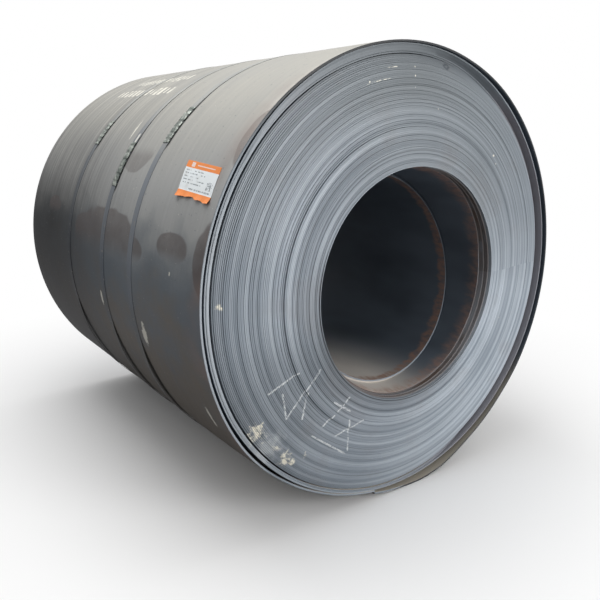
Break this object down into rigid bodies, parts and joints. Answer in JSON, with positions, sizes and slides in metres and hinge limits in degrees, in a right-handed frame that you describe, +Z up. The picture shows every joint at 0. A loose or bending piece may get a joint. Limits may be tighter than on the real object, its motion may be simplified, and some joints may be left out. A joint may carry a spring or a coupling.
{
  "type": "steel coil",
  "caption": "Hot rolled steel coil lying on its side, with an open bore, bulged end faces, loose outer wraps, flat steel straps with crimped seals and a paper label.",
  "frame": {"origin": "on the ground under the middle of the coil", "axes": "+Y along the bore towards the rear end, the end in the picture faces -Y, +Z up"},
  "size_m": [1.6402, 1.857, 1.6402],
  "materials": {
    "coil": "dark mill scale, satin",
    "strap": "blued steel strap",
    "seal": "zinc grey",
    "label": "matt"
  },
  "bodies": {
    "root": {"coil": "coil", "strap_front": "strap", "strap_middle": "strap", "strap_rear": "strap", "seal_front": "seal", "seal_middle": "seal", "seal_rear": "seal", "label": "label"}
  },
  "joints": []
}
